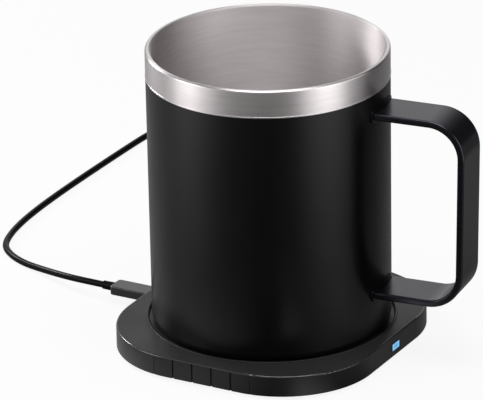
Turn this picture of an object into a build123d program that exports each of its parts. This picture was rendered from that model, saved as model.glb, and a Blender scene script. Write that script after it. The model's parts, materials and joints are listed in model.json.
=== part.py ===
from build123d import *
from math import cos, pi, radians, sin, sqrt, tan
import os

# Thin USB mug warmer with its matched double-wall steel mug and its plug-in lead.
# Frame: origin on the table under the middle of the base, +Z up, +X towards the button,
# -X towards the plug, -Y towards the grooved front wall. Lengths are in millimetres.

# Mug
mug_height = 104.85
mug_rim_radius = 44.2
mug_wall_draw = 0.4
mug_band_height = 10.3
mug_foot_radius = 3.0
mug_shell_wall = 0.8
mug_shell_floor = 1.2
mug_liner_wall = 0.7
mug_liner_floor = 1.0
mug_liner_corner = 8.0
mug_vacuum_gap = 3.4
mug_lip_width = 2.0
mug_lip_round = 0.8
mug_tongue_height = 4.0
mug_fit_gap = 0.05
mug_disc_flange = 1.0
mug_disc_step = 3.0
mug_disc_inset = 7.7
mug_rest_gap = 0.05

# Strap handle
handle_width = 17.2
handle_thickness = 2.6
handle_finger_gap = 31.0
handle_flare = 1.3
handle_corner_radius = 11.1
handle_top_drop = 17.0
handle_bottom_rise = 15.8
handle_edge_radius = 0.7
handle_bead = 0.8
handle_yaw = 6.4

# Housing of the warming base
seat_clearance = 1.0
base_side_margin = 5.2
base_front_margin = 8.2
base_corner_radius = 35.0
housing_wall = 1.6
cover_skin = 1.4
cover_edge_radius = 0.6
cover_fit_gap = 0.15
seat_depth = 0.9
seat_ledge_width = 7.3
seat_ledge_thickness = 1.2
seat_rim_width = 1.2
seat_rim_height = 0.35
seat_rim_round = 0.25
seat_lead_in = 0.8
groove_count = 6
groove_pitch = 7.9
groove_width = 0.7
groove_depth = 0.45
floor_thickness = 1.2

# Heating plate stack
plate_gap = 0.25
plate_edge_chamfer = 0.3
plate_flange_width = 2.6
plate_flange_thickness = 1.0
plate_seal_thickness = 0.5
heater_margin = 3.0
heater_gap = 0.3
heater_thickness = 0.6
insulator_thickness = 0.8
retainer_thickness = 0.6
retainer_bore = 14.0
retainer_tab_width = 5.0
sensor_radius = 2.0
sensor_height = 0.9
sensor_lead_radius = 0.25
sensor_lead_spacing = 1.5
heater_lead_radius = 0.6
heater_lead_offset = 9.0
heater_lead_spacing = 5.0

# Screws and their bosses
retainer_screw_angles = (30.0, 150.0, 210.0, 330.0)
retainer_boss_radius = 1.9
retainer_boss_clearance = 0.7
retainer_shank_radius = 0.7
retainer_head_radius = 1.6
retainer_head_height = 0.7
housing_boss_radius = 2.6
housing_shank_radius = 0.95
housing_head_radius = 2.1
housing_head_height = 1.15
housing_pad_radius = 4.0
housing_pad_floor = 0.7
housing_pilot_roof = 0.5
screw_slip = 0.05
screw_tip_gap = 0.2
screw_hole_gap = 0.2
screw_slot_width = 0.5
screw_slot_depth = 0.35

# Rubber feet
foot_radius = 5.0
foot_stand_height = 1.0
foot_recess_depth = 0.5
foot_edge_margin = 0.9
foot_round = 0.4

# Circuit board and what it carries
board_standoff = 0.6
board_thickness = 0.8
board_air_gap = 1.0
board_front_reach = 9.0
board_back_reach = 13.0
board_wall_gap = 0.9
board_corner = 1.0
board_peg_reach = 30.0
board_peg_inset = 2.6
board_peg_radius = 0.8
board_peg_seat = 1.9
board_peg_head = 0.4
chip_thickness = 0.6
chip_side = 5.0
chip_offset = 20.0
power_chip_length = 6.5
led_length = 3.0
led_depth = 1.4
led_height = 0.9
led_gap = 0.5

# USB socket in the left wall
usb_offset = 1.5
usb_socket_width = 7.7
usb_socket_height = 2.7
usb_socket_depth = 5.6
usb_socket_wall = 0.3
usb_socket_round = 0.9
usb_mouth_recess = 0.3
usb_wall_gap = 0.25
usb_tongue_width = 4.4
usb_tongue_thickness = 0.6
usb_tongue_recess = 1.0

# Lit push button and its switch in the right wall
button_offset = 1.65
button_width = 6.0
button_height = 2.9
button_round = 0.5
button_proud = 0.2
button_gap = 0.15
button_travel = 0.5
button_flange = 0.7
button_flange_ear = 0.8
button_flange_lip = 0.3
button_rest_gap = 0.05
switch_width = 4.7
switch_depth = 3.5
switch_height = 2.0
switch_gap = 0.25
plunger_width = 2.0
plunger_height = 0.9
plunger_engagement = 0.4
plunger_gap = 0.06

# Slim plug
plug_length = 17.3
plug_width = 7.6
plug_thickness = 3.4
plug_tail_radius = 1.3
plug_edge_radius = 0.4
plug_wall_gap = 0.2
plug_shell_width = 6.85
plug_shell_height = 1.8
plug_shell_wall = 0.25
plug_shell_length = 5.0
plug_shell_web = 0.6
plug_relief_length = 4.5
plug_relief_radius = 1.68
plug_relief_tip_radius = 1.6

# Cord, coil and tie
cord_diameter = 2.5
coil_entry_radius = 20.3
coil_pitch = 3.0
coil_layer_rise = 2.95
coil_down_quarters = 15
coil_climb_quarters = 2
coil_up_quarters = 16
coil_climb_dip = 0.8
coil_climb_step = 0.3
coil_samples_per_quarter = 12
tie_width = 4.0
tie_thickness = 0.3
tie_gap = 0.05
tie_side_gap = 0.5

# Far-end plug
usb_a_coil_gap = 0.5
usb_a_relief_length = 9.0
usb_a_relief_radius = 2.9
usb_a_relief_tip_radius = 1.7
usb_a_length = 21.0
usb_a_width = 15.6
usb_a_round = 1.5
usb_a_shell_length = 18.75
usb_a_shell_width = 12.0
usb_a_shell_height = 4.5
usb_a_shell_wall = 0.3
usb_a_shell_round = 0.6
usb_a_tongue_width = 10.8
usb_a_tongue_thickness = 1.85
usb_a_tongue_recess = 1.0
usb_a_window_side = 2.4
usb_a_window_spread = 5.6
usb_a_window_setback = 5.2

overrun = 1.0

# Heights, stacked from the table up to the rim of the mug
cord_radius = cord_diameter / 2
housing_bottom_z = foot_stand_height
floor_top_z = housing_bottom_z + floor_thickness
board_bottom_z = floor_top_z + board_standoff
board_top_z = board_bottom_z + board_thickness
retainer_bottom_z = board_top_z + board_air_gap
plate_bottom_z = retainer_bottom_z + retainer_thickness
flange_top_z = plate_bottom_z + plate_flange_thickness
insulator_top_z = plate_bottom_z + insulator_thickness
heater_top_z = insulator_top_z + heater_thickness
ledge_under_z = flange_top_z + plate_seal_thickness
seat_z = ledge_under_z + seat_ledge_thickness
housing_top_z = seat_z + seat_depth
skin_under_z = housing_top_z - cover_skin
foot_top_z = housing_bottom_z + foot_recess_depth
head_seat_z = foot_top_z + screw_slip + housing_head_height
pad_top_z = head_seat_z + housing_pad_floor
usb_z = board_top_z + usb_socket_height / 2
button_z = board_top_z + switch_height / 2
mug_bottom_z = seat_z + mug_rest_gap
mug_rim_z = mug_bottom_z + mug_height
mug_band_z = mug_rim_z - mug_band_height
mug_disc_top_z = mug_bottom_z + mug_shell_floor + mug_disc_flange
mug_liner_floor_z = mug_disc_top_z + mug_liner_floor

# Plan sizes
mug_base_radius = mug_rim_radius - mug_wall_draw
seat_radius = mug_base_radius + seat_clearance
base_half_width = seat_radius + base_side_margin
base_half_depth = seat_radius + base_front_margin
plate_radius = seat_radius - seat_ledge_width
flange_radius = plate_radius + plate_flange_width
heater_radius = plate_radius - heater_margin
wall_inside = base_half_width - housing_wall
foot_reach = base_corner_radius - housing_wall - cover_fit_gap - foot_radius - foot_edge_margin
foot_x = base_half_width - base_corner_radius + foot_reach / sqrt(2)
foot_y = base_half_depth - base_corner_radius + foot_reach / sqrt(2)
retainer_circle = flange_radius + retainer_boss_radius + retainer_boss_clearance
usb_mouth_x = usb_mouth_recess - base_half_width
usb_rear_x = usb_mouth_x + usb_socket_depth
plug_front_x = -(base_half_width + plug_wall_gap)
plug_back_x = plug_front_x - plug_length
relief_end_x = plug_back_x - plug_relief_length
button_face_x = base_half_width + button_proud
flange_front_x = wall_inside - button_rest_gap
flange_back_x = flange_front_x - button_flange
switch_front_x = flange_back_x - button_travel - switch_gap
board_left_x = board_wall_gap - wall_inside
board_right_x = switch_front_x

BASE = (Align.CENTER, Align.CENTER, Align.MIN)


# Building blocks

def disc(radius, bottom, top):
    return Pos(0, 0, bottom) * Cylinder(radius, top - bottom, align=BASE)


# The base's rounded plan, drawn in all round.
def slab(inset, bottom, top):
    width = 2 * (base_half_width - inset)
    depth = 2 * (base_half_depth - inset)
    plan = RectangleRounded(width, depth, base_corner_radius - inset)
    return Pos(0, 0, bottom) * extrude(plan, amount=top - bottom)


def block(x_span, y_span, z_span):
    sizes = [high - low for low, high in (x_span, y_span, z_span)]
    middle = [(low + high) / 2 for low, high in (x_span, y_span, z_span)]
    return Pos(*middle) * Box(*sizes)


def about(centre, size):
    return centre - size / 2, centre + size / 2


# A bar along X with a rounded section, centred on y and z.
def bar_x(width, height, corner, x_span, y, z):
    section = Plane.YZ * RectangleRounded(width, height, corner)
    return Pos(x_span[0], y, z) * extrude(section, amount=x_span[1] - x_span[0])


# A bar along -Y with a rounded section, from y_span's high end to its low end.
def bar_y(width, height, corner, y_span, x, z):
    section = Plane.XZ * RectangleRounded(width, height, corner)
    return Pos(x, y_span[1], z) * extrude(section, amount=y_span[1] - y_span[0])


def around(radius, angles, solid):
    return [Rot(0, 0, angle) * Pos(radius, 0, 0) * solid for angle in angles]


# One copy over each foot.
def at_corners(solid):
    return [Pos(x, y, 0) * solid for x in (-foot_x, foot_x) for y in (-foot_y, foot_y)]


# A closed outline in the radius-height plane, with some of its corners rounded.
def turned(points, rounds):
    face = make_face(Polyline(*points, close=True))
    for index, radius in rounds.items():
        corner = face.vertices().sort_by_distance(points[index])[0]
        face = fillet(corner, radius)
    return revolve(Plane.XZ * face, Axis.Z)


def save(name, *solids):
    shape = solids[0] if len(solids) == 1 else Compound(children=list(solids))
    export_step(shape, f"parts/{name}.step")


# Warming base

def make_top_cover():
    cover = slab(0, housing_bottom_z, housing_top_z)
    cover = fillet(cover.faces().sort_by(Axis.Z)[-1].edges(), cover_edge_radius)
    cover -= slab(housing_wall, 0, skin_under_z)

    # round mug seat: ledge, wall and raised rim in one ring, with a round that leads the mug in
    hole_radius = plate_radius + plate_gap
    rim_radius = seat_radius + seat_rim_width
    rim_top_z = housing_top_z + seat_rim_height
    cover -= disc(seat_radius + seat_rim_width / 2, 0, housing_top_z + overrun)
    seat_points = [
        (hole_radius, ledge_under_z),
        (rim_radius, ledge_under_z),
        (rim_radius, rim_top_z),
        (seat_radius, rim_top_z),
        (seat_radius, seat_z),
        (hole_radius, seat_z),
    ]
    cover += turned(seat_points, {2: seat_rim_round, 3: seat_lead_in})

    # bosses that the clamp ring and the bottom cover screw into
    ledge_middle_z = (ledge_under_z + seat_z) / 2
    boss = disc(retainer_boss_radius, plate_bottom_z, ledge_middle_z)
    cover += around(retainer_circle, retainer_screw_angles, boss)
    pilot = disc(retainer_shank_radius + screw_slip, 0, ledge_middle_z)
    cover -= around(retainer_circle, retainer_screw_angles, pilot)
    boss = disc(housing_boss_radius, pad_top_z, skin_under_z + cover_skin / 2)
    cover += at_corners(boss)
    pilot = disc(housing_shank_radius + screw_slip, 0, skin_under_z - housing_pilot_roof)
    cover -= at_corners(pilot)

    # openings for the socket and the button
    cover -= bar_x(
        usb_socket_width + 2 * usb_wall_gap,
        usb_socket_height + 2 * usb_wall_gap,
        usb_socket_round + usb_wall_gap,
        (-base_half_width - overrun, usb_rear_x + usb_wall_gap),
        usb_offset,
        usb_z,
    )
    cover -= bar_x(
        button_width + 2 * button_gap,
        button_height + 2 * button_gap,
        button_round + button_gap,
        (wall_inside - overrun, base_half_width + overrun),
        button_offset,
        button_z,
    )

    # upright grooves in the front wall
    groove_top_z = housing_top_z - cover_edge_radius
    for index in range(groove_count):
        x = (index - (groove_count - 1) / 2) * groove_pitch
        y_span = (-base_half_depth - overrun, -base_half_depth + groove_depth)
        cover -= block(about(x, groove_width), y_span, (0, groove_top_z))
    return cover


def board_peg_places():
    front_y = -board_front_reach + board_peg_inset
    back_y = board_back_reach - board_peg_inset
    return [(x, y) for x in (-board_peg_reach, board_peg_reach) for y in (front_y, back_y)]


def make_bottom_cover():
    cover = slab(housing_wall + cover_fit_gap, housing_bottom_z, floor_top_z)
    pad = disc(housing_pad_radius, housing_bottom_z, pad_top_z)
    cover += at_corners(pad)
    for x, y in board_peg_places():
        cover += Pos(x, y, 0) * disc(board_peg_seat, housing_bottom_z, board_bottom_z)
        cover += Pos(x, y, 0) * disc(board_peg_radius, housing_bottom_z, board_top_z + board_peg_head)
    cuts = [
        disc(foot_radius + screw_slip, 0, foot_top_z),
        disc(housing_head_radius + screw_hole_gap, 0, head_seat_z),
        disc(housing_shank_radius + screw_hole_gap, 0, pad_top_z + overrun),
    ]
    for cut in cuts:
        cover -= at_corners(cut)
    return cover


def make_heating_plate():
    face = disc(plate_radius, plate_bottom_z, seat_z)
    face = chamfer(face.faces().sort_by(Axis.Z)[-1].edges(), plate_edge_chamfer)
    plate = face + disc(flange_radius, plate_bottom_z, flange_top_z)
    return plate - disc(heater_radius + heater_gap, 0, heater_top_z)


def make_plate_seal():
    return disc(flange_radius, flange_top_z, ledge_under_z) - disc(plate_radius + plate_gap, 0, seat_z)


def heater_lead_places():
    return [(heater_lead_offset, side * heater_lead_spacing / 2) for side in (-1, 1)]


def make_heater_insulator():
    insulator = disc(heater_radius, plate_bottom_z, insulator_top_z)
    insulator -= disc(sensor_radius + heater_gap, 0, seat_z)
    for x, y in heater_lead_places():
        insulator -= Pos(x, y, 0) * disc(heater_lead_radius + heater_gap, 0, seat_z)
    return insulator


def make_plate_retainer():
    ring = disc(flange_radius, retainer_bottom_z, plate_bottom_z)
    tab_span = (flange_radius - retainer_tab_width, retainer_circle)
    tab = block(tab_span, about(0, retainer_tab_width), (retainer_bottom_z, plate_bottom_z))
    tab += Pos(retainer_circle, 0, 0) * disc(retainer_tab_width / 2, retainer_bottom_z, plate_bottom_z)
    ring += around(0, retainer_screw_angles, tab)
    hole = disc(retainer_shank_radius + screw_hole_gap, 0, seat_z)
    ring -= around(retainer_circle, retainer_screw_angles, hole)
    return ring - disc(retainer_bore, 0, seat_z)


# A pan-head screw standing on its head, with a driver slot in the head.
def make_screw(head_radius, head_height, shank_radius, seat, tip):
    screw = disc(head_radius, seat - head_height, seat) + disc(shank_radius, seat, tip)
    slot_top = seat - head_height + screw_slot_depth
    return screw - block(about(0, 2 * head_radius), about(0, screw_slot_width), (0, slot_top))


def make_control_board():
    length = board_right_x - board_left_x
    outline = RectangleRounded(length, board_front_reach + board_back_reach, board_corner)
    middle_x = (board_left_x + board_right_x) / 2
    middle_y = (board_back_reach - board_front_reach) / 2
    board = Pos(middle_x, middle_y, board_bottom_z) * extrude(outline, amount=board_thickness)
    for x, y in board_peg_places():
        board -= Pos(x, y, 0) * disc(board_peg_radius + screw_slip, 0, retainer_bottom_z)
    return board


def make_board_chips():
    z_span = (board_top_z, board_top_z + chip_thickness)
    controller = block(about(-chip_offset, chip_side), about(0, chip_side), z_span)
    power_switch = block(about(chip_offset, power_chip_length), about(0, chip_side), z_span)
    return controller, power_switch


def make_usb_socket():
    x_span = (usb_mouth_x, usb_rear_x)
    shell = bar_x(usb_socket_width, usb_socket_height, usb_socket_round, x_span, usb_offset, usb_z)
    bore_span = (usb_mouth_x - overrun, usb_rear_x - usb_socket_wall)
    shell -= bar_x(
        usb_socket_width - 2 * usb_socket_wall,
        usb_socket_height - 2 * usb_socket_wall,
        usb_socket_round - usb_socket_wall,
        bore_span,
        usb_offset,
        usb_z,
    )
    return shell


def make_usb_socket_tongue():
    x_span = (usb_mouth_x + usb_tongue_recess, usb_rear_x - usb_socket_wall)
    return block(x_span, about(usb_offset, usb_tongue_width), about(usb_z, usb_tongue_thickness))


def make_status_led():
    y_low = button_offset + switch_width / 2 + led_gap
    x_span = (switch_front_x - led_depth, switch_front_x)
    return block(x_span, (y_low, y_low + led_length), (board_top_z, board_top_z + led_height))


def make_tact_switch():
    x_span = (switch_front_x - switch_depth, switch_front_x)
    z_span = (board_top_z, board_top_z + switch_height)
    switch = block(x_span, about(button_offset, switch_width), z_span)
    well_depth = plunger_engagement + button_travel + switch_gap
    return switch - block(
        (switch_front_x - well_depth, switch_front_x + overrun),
        about(button_offset, plunger_width + 2 * plunger_gap),
        about(button_z, plunger_height + 2 * plunger_gap),
    )


def make_rubber_foot():
    foot = disc(foot_radius, 0, foot_top_z)
    return fillet(foot.faces().sort_by(Axis.Z)[0].edges(), foot_round)


# Push button

def make_button_key():
    stem_span = (flange_back_x, button_face_x)
    key = bar_x(button_width, button_height, button_round, stem_span, button_offset, button_z)
    key = fillet(key.faces().sort_by(Axis.X)[-1].edges(), button_proud / 2)
    flange_width = button_width + 2 * button_flange_ear
    flange_height = button_height + 2 * button_flange_lip
    flange_span = (flange_back_x, flange_front_x)
    return key + bar_x(flange_width, flange_height, button_round, flange_span, button_offset, button_z)


def make_switch_plunger():
    x_span = (switch_front_x - plunger_engagement, flange_back_x)
    return block(x_span, about(button_offset, plunger_width), about(button_z, plunger_height))


# Mug

def wall_radius(z):
    return mug_base_radius + mug_wall_draw * (z - mug_bottom_z) / mug_height


def wall_cone(grow):
    cone = Cone(mug_base_radius + grow, mug_rim_radius + grow, mug_height, align=BASE)
    return Pos(0, 0, mug_bottom_z) * cone


disc_hole_radius = mug_base_radius - mug_disc_inset


def make_mug_outer_shell():
    floor_z = mug_bottom_z + mug_shell_floor
    points = [
        (disc_hole_radius, mug_bottom_z),
        (mug_base_radius, mug_bottom_z),
        (wall_radius(mug_band_z), mug_band_z),
        (wall_radius(mug_band_z) - mug_shell_wall, mug_band_z),
        (wall_radius(floor_z) - mug_shell_wall, floor_z),
        (disc_hole_radius, floor_z),
    ]
    return turned(points, {1: mug_foot_radius, 4: mug_foot_radius - mug_shell_wall})


def make_mug_base_disc():
    floor_z = mug_bottom_z + mug_shell_floor
    plug = disc(disc_hole_radius - mug_fit_gap, mug_bottom_z, floor_z)
    return plug + disc(disc_hole_radius + mug_disc_step, floor_z, mug_disc_top_z)


def make_mug_liner():
    lip_radius = mug_rim_radius - mug_lip_width
    floor_radius = mug_base_radius - mug_shell_wall - mug_vacuum_gap - mug_liner_wall
    tongue_z = mug_band_z - mug_tongue_height
    tongue_radius = wall_radius(tongue_z) - mug_shell_wall - mug_fit_gap
    tongue_share = (tongue_z - mug_liner_floor_z) / (mug_rim_z - mug_liner_floor_z)
    tongue_inside = floor_radius + (lip_radius - floor_radius) * tongue_share + mug_liner_wall
    points = [
        (0, mug_disc_top_z),
        (floor_radius + mug_liner_wall, mug_disc_top_z),
        (tongue_inside, tongue_z),
        (tongue_radius, tongue_z),
        (tongue_radius, mug_band_z),
        (wall_radius(mug_band_z), mug_band_z),
        (mug_rim_radius, mug_rim_z),
        (lip_radius, mug_rim_z),
        (floor_radius, mug_liner_floor_z),
        (0, mug_liner_floor_z),
    ]
    rounds = {
        1: mug_liner_corner + mug_liner_wall,
        6: mug_lip_round,
        7: mug_lip_round,
        8: mug_liner_corner,
    }
    return turned(points, rounds)


# The strap is a D of constant thickness: an outer outline less the same outline drawn in. It reaches
# out further at the top than at the bottom, by the flare.
def strap_outline(inset):
    reach = mug_rim_radius + handle_finger_gap + handle_thickness - inset
    low = mug_bottom_z + handle_bottom_rise + inset
    high = mug_rim_z - handle_top_drop - inset
    corner = handle_corner_radius + handle_thickness - inset
    handle_height = mug_height - handle_top_drop - handle_bottom_rise
    lean = handle_flare / 2 * (high - low) / handle_height
    points = [(0, low), (reach - lean, low), (reach + lean, high), (0, high)]
    outline = make_face(Polyline(*points, close=True))
    outer_corners = outline.vertices().sort_by(Axis.X)[-2:]
    return Plane.XZ * fillet(outer_corners, corner)


def make_mug_handle():
    flat = strap_outline(0) - strap_outline(handle_thickness)
    strap = extrude(flat, amount=handle_width / 2, both=True)
    side_edges = strap.faces().filter_by(Axis.Y).edges()
    strap = fillet(side_edges.filter_by(Axis.Z, reverse=True), handle_edge_radius)
    strap -= wall_cone(0)
    arm_heights = (
        mug_bottom_z + handle_bottom_rise + handle_thickness / 2,
        mug_rim_z - handle_top_drop - handle_thickness / 2,
    )
    for z in arm_heights:
        bead = bar_x(
            handle_width + 2 * handle_bead,
            handle_thickness + 2 * handle_bead,
            handle_bead,
            (0, mug_rim_radius + handle_bead + overrun),
            0,
            z,
        )
        strap += (bead & wall_cone(handle_bead)) - wall_cone(0)
    return Rot(0, 0, handle_yaw) * strap


# Lead

def make_plug_contact_shell():
    x_span = (plug_front_x, plug_front_x + plug_shell_length)
    shell = bar_x(plug_shell_width, plug_shell_height, plug_shell_height / 2 - plug_shell_wall / 2,
                  x_span, usb_offset, usb_z)
    bore_height = plug_shell_height - 2 * plug_shell_wall
    return shell - bar_x(
        plug_shell_width - 2 * plug_shell_wall,
        bore_height,
        bore_height / 2 - plug_shell_wall / 2,
        (plug_front_x + plug_shell_web, x_span[1] + overrun),
        usb_offset,
        usb_z,
    )


def make_plug_overmould():
    plan = Rectangle(plug_length, plug_width)
    plan = fillet(plan.vertices().sort_by(Axis.X)[:2], plug_tail_radius)
    body = extrude(plan, amount=plug_thickness)
    body = fillet(body.faces().filter_by(Axis.Z).edges(), plug_edge_radius)
    middle_x = (plug_front_x + plug_back_x) / 2
    return Pos(middle_x, usb_offset, usb_z - plug_thickness / 2) * body


def make_plug_relief():
    relief = Cone(plug_relief_radius, plug_relief_tip_radius, plug_relief_length, align=BASE)
    return Pos(plug_back_x, usb_offset, usb_z) * Rot(0, -90, 0) * relief


# The cord's free stretch, as steps from the end of the strain relief. The third value is how
# much of the drop from the socket to the table is still to come.
cord_route_shares = [
    (-9.6, 0, 1),
    (-20.0, 3.1, 0.66),
    (-31.0, 8.0, 0.18),
    (-40.6, 11.1, 0),
    (-49.4, 15.4, 0),
    (-56.6, 22.2, 0),
    (-60.2, 32.0, 0),
    (-62.4, 43.5, 0),
    (-63.7, 57.0, 0),
    (-64.3, 74.0, 0),
    (-64.4, 93.0, 0),
    (-64.2, 112.0, 0),
    (-63.9, 131.0, 0),
    (-63.4, 145.5, 0),
    (-60.4, 158.0, 0),
    (-53.4, 168.0, 0),
    (-43.5, 173.6, 0),
]
coil_lead_in_step = (-34.0, 174.6)
coil_entry_step = (-26.0, 174.6)
coil_low_z = tie_thickness + tie_gap + cord_radius
coil_high_z = coil_low_z + coil_layer_rise
coil_entry = Vector(relief_end_x + coil_entry_step[0], usb_offset + coil_entry_step[1], coil_low_z)
coil_centre = Vector(coil_entry.X + cord_diameter, coil_entry.Y - coil_entry_radius, 0)


def cord_points():
    points = [Vector(relief_end_x, usb_offset, usb_z)]
    for step_x, step_y, drop_share in cord_route_shares:
        z = cord_radius + drop_share * (usb_z - cord_radius)
        points.append(Vector(relief_end_x + step_x, usb_offset + step_y, z))
    step_x, step_y = coil_lead_in_step
    points.append(Vector(relief_end_x + step_x, usb_offset + step_y, coil_low_z))
    points.append(coil_entry)
    return points


# Each bend is as wide as its two runs allow.
bend_share = 0.45


def cord_path():
    points = cord_points()
    radii = []
    for before, corner, after in zip(points, points[1:], points[2:]):
        run_in = corner - before
        run_out = after - corner
        half_turn = radians(run_in.get_angle(run_out)) / 2
        radii.append(bend_share * min(run_in.length, run_out.length) / tan(half_turn))
    print("cord bend radii", [round(radius, 1) for radius in radii])
    return FilletPolyline(*points, radius=radii)


def swept_tube(path):
    start = Plane(origin=path @ 0, z_dir=path % 0)
    tube = sweep(start * Circle(cord_radius), path=path)
    plain_volume = pi * cord_radius**2 * path.length
    print("tube length", round(path.length, 1), "volume ratio", round(tube.volume / plain_volume, 4))
    return tube


# One stop per quarter turn, clockwise from the coil's far side: its radius, height and the rates at
# which both change per radian. The coil winds in on the table, climbs, and winds out on top.
def coil_stops():
    climb_start = coil_down_quarters
    climb_end = climb_start + coil_climb_quarters
    rate = coil_pitch / (2 * pi)
    inner_radius = coil_entry_radius - coil_pitch * climb_start / 4
    out_radius = inner_radius - coil_climb_step
    middle_z = (coil_low_z + coil_high_z) / 2
    stops = []
    for quarter in range(climb_end + coil_up_quarters + 1):
        if quarter <= climb_start:
            radius = coil_entry_radius - coil_pitch * quarter / 4
            stops.append((radius, coil_low_z, -rate, 0))
        elif quarter < climb_end:
            stops.append((inner_radius - coil_climb_dip, middle_z, 0, coil_layer_rise / 2))
        else:
            radius = out_radius + coil_pitch * (quarter - climb_end) / 4
            stops.append((radius, coil_high_z, rate, 0))
    return stops


# The far-end plug lies just past the coil, in line with the cord's end.
coil_outer_radius = coil_stops()[-1][0] + cord_radius
usb_a_x = coil_centre.X + coil_stops()[-1][0]
usb_a_back_y = coil_centre.Y - coil_outer_radius - usb_a_coil_gap
usb_a_relief_y = usb_a_back_y + usb_a_relief_length
usb_a_front_y = usb_a_back_y - usb_a_length
usb_a_tip_y = usb_a_front_y - usb_a_shell_length


def coil_path():
    places = []
    headings = []
    for quarter, (radius, z, radius_rate, z_rate) in enumerate(coil_stops()):
        angle = pi / 2 - quarter * pi / 2
        outward = Vector(cos(angle), sin(angle), 0)
        forward = Vector(sin(angle), -cos(angle), 0)
        places.append(coil_centre + outward * radius + Vector(0, 0, z))
        heading = forward * radius + outward * radius_rate + Vector(0, 0, z_rate)
        headings.append(heading.normalized())
    headings[0] = Vector(1, 0, 0)
    headings[-1] = Vector(0, -1, 0)
    edges = [Line(coil_entry, places[0])]
    for stop in range(len(places) - 1):
        edges += biarc(places[stop], headings[stop], places[stop + 1], headings[stop + 1])
    edges.append(Line(places[-1], Vector(places[-1].X, usb_a_relief_y, places[-1].Z)))
    return Wire(edges)


# Two tangent arcs from one place and heading to the next.
def biarc(start, start_heading, end, end_heading):
    span = end - start
    along = span.dot(start_heading + end_heading)
    bend = 2 * (1 - start_heading.dot(end_heading))
    reach = (sqrt(along**2 + bend * span.dot(span)) - along) / bend
    knee_in = start + start_heading * reach
    knee_out = end - end_heading * reach
    middle = (knee_in + knee_out) / 2
    return [
        TangentArc(start, middle, tangent=start_heading),
        TangentArc(middle, end, tangent=(knee_out - knee_in).normalized()),
    ]


# Least clear distance between turns, on points along the path.
def print_coil_gap(path):
    count = coil_samples_per_quarter * len(coil_stops())
    points = [path.position_at(index / count) for index in range(count + 1)]
    step = path.length / count
    near = int(pi * cord_diameter / step) + 1
    least = min(
        (points[first] - points[second]).length
        for first in range(count + 1)
        for second in range(first + near, count + 1)
    )
    print("least gap between coil turns", round(least - cord_diameter, 2))


# The tie goes round the bundle on the coil's near side, where no turn climbs.
def make_coil_tie():
    near_radii = [stop[0] for index, stop in enumerate(coil_stops()) if index % 4 == 2]
    low_y = coil_centre.Y - max(near_radii) - cord_radius - tie_side_gap
    high_y = coil_centre.Y - min(near_radii) + cord_radius + tie_side_gap
    top_z = coil_high_z + cord_radius + tie_gap
    x_span = about(coil_centre.X, tie_width)
    width = high_y - low_y
    height = top_z - tie_thickness
    middle_y = (low_y + high_y) / 2
    middle_z = (top_z + tie_thickness) / 2
    outer = bar_x(width + 2 * tie_thickness, height + 2 * tie_thickness, cord_radius + tie_thickness,
                  x_span, middle_y, middle_z)
    inner_span = (x_span[0] - overrun, x_span[1] + overrun)
    return outer - bar_x(width, height, cord_radius, inner_span, middle_y, middle_z)


def make_usb_a_relief():
    relief = Cone(usb_a_relief_tip_radius, usb_a_relief_radius, usb_a_relief_length, align=BASE)
    return Pos(usb_a_x, usb_a_relief_y, coil_high_z) * Rot(90, 0, 0) * relief


def make_usb_a_overmould():
    y_span = (usb_a_front_y, usb_a_back_y)
    body = bar_y(usb_a_width, 2 * coil_high_z, usb_a_round, y_span, usb_a_x, coil_high_z)
    return fillet(body.faces().filter_by(Axis.Y).edges(), usb_a_round / 2)


def make_usb_a_shell():
    y_span = (usb_a_tip_y, usb_a_front_y)
    shell = bar_y(usb_a_shell_width, usb_a_shell_height, usb_a_shell_round, y_span, usb_a_x, coil_high_z)
    shell -= bar_y(
        usb_a_shell_width - 2 * usb_a_shell_wall,
        usb_a_shell_height - 2 * usb_a_shell_wall,
        usb_a_shell_round - usb_a_shell_wall,
        (usb_a_tip_y - overrun, usb_a_front_y - usb_a_shell_wall),
        usb_a_x,
        coil_high_z,
    )
    window_y = about(usb_a_tip_y + usb_a_window_setback + usb_a_window_side / 2, usb_a_window_side)
    for side in (-1, 1):
        window_x = about(usb_a_x + side * usb_a_window_spread / 2, usb_a_window_side)
        shell -= block(window_x, window_y, (0, usb_a_width))
    return shell


def make_usb_a_tongue():
    y_span = (usb_a_tip_y + usb_a_tongue_recess, usb_a_front_y - usb_a_shell_wall)
    low_z = coil_high_z - usb_a_shell_height / 2 + usb_a_shell_wall
    z_span = (low_z, low_z + usb_a_tongue_thickness)
    return block(about(usb_a_x, usb_a_tongue_width), y_span, z_span)


os.makedirs("parts", exist_ok=True)

save("top_cover", make_top_cover())
save("bottom_cover", make_bottom_cover())
save("heating_plate", make_heating_plate())
save("plate_seal", make_plate_seal())
save("heater_element", disc(heater_radius, insulator_top_z, heater_top_z))
save("heater_insulator", make_heater_insulator())
save("plate_retainer", make_plate_retainer())
retainer_tip_z = (ledge_under_z + seat_z) / 2 - screw_tip_gap
retainer_screw = make_screw(
    retainer_head_radius, retainer_head_height, retainer_shank_radius, retainer_bottom_z, retainer_tip_z
)
save("retainer_screws", *around(retainer_circle, retainer_screw_angles, retainer_screw))
save("temperature_sensor", disc(sensor_radius, insulator_top_z - sensor_height, insulator_top_z))
sensor_lead = disc(sensor_lead_radius, board_top_z, insulator_top_z - sensor_height)
save("sensor_leads", *[Pos(side * sensor_lead_spacing / 2, 0, 0) * sensor_lead for side in (-1, 1)])
heater_lead = disc(heater_lead_radius, board_top_z, insulator_top_z)
save("heater_leads", *[Pos(x, y, 0) * heater_lead for x, y in heater_lead_places()])
save("control_board", make_control_board())
save("board_chips", *make_board_chips())
save("usb_socket", make_usb_socket())
save("usb_socket_tongue", make_usb_socket_tongue())
save("status_led", make_status_led())
save("tact_switch", make_tact_switch())
housing_tip_z = skin_under_z - housing_pilot_roof - screw_tip_gap
housing_screw = make_screw(
    housing_head_radius, housing_head_height, housing_shank_radius, head_seat_z, housing_tip_z
)
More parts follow.
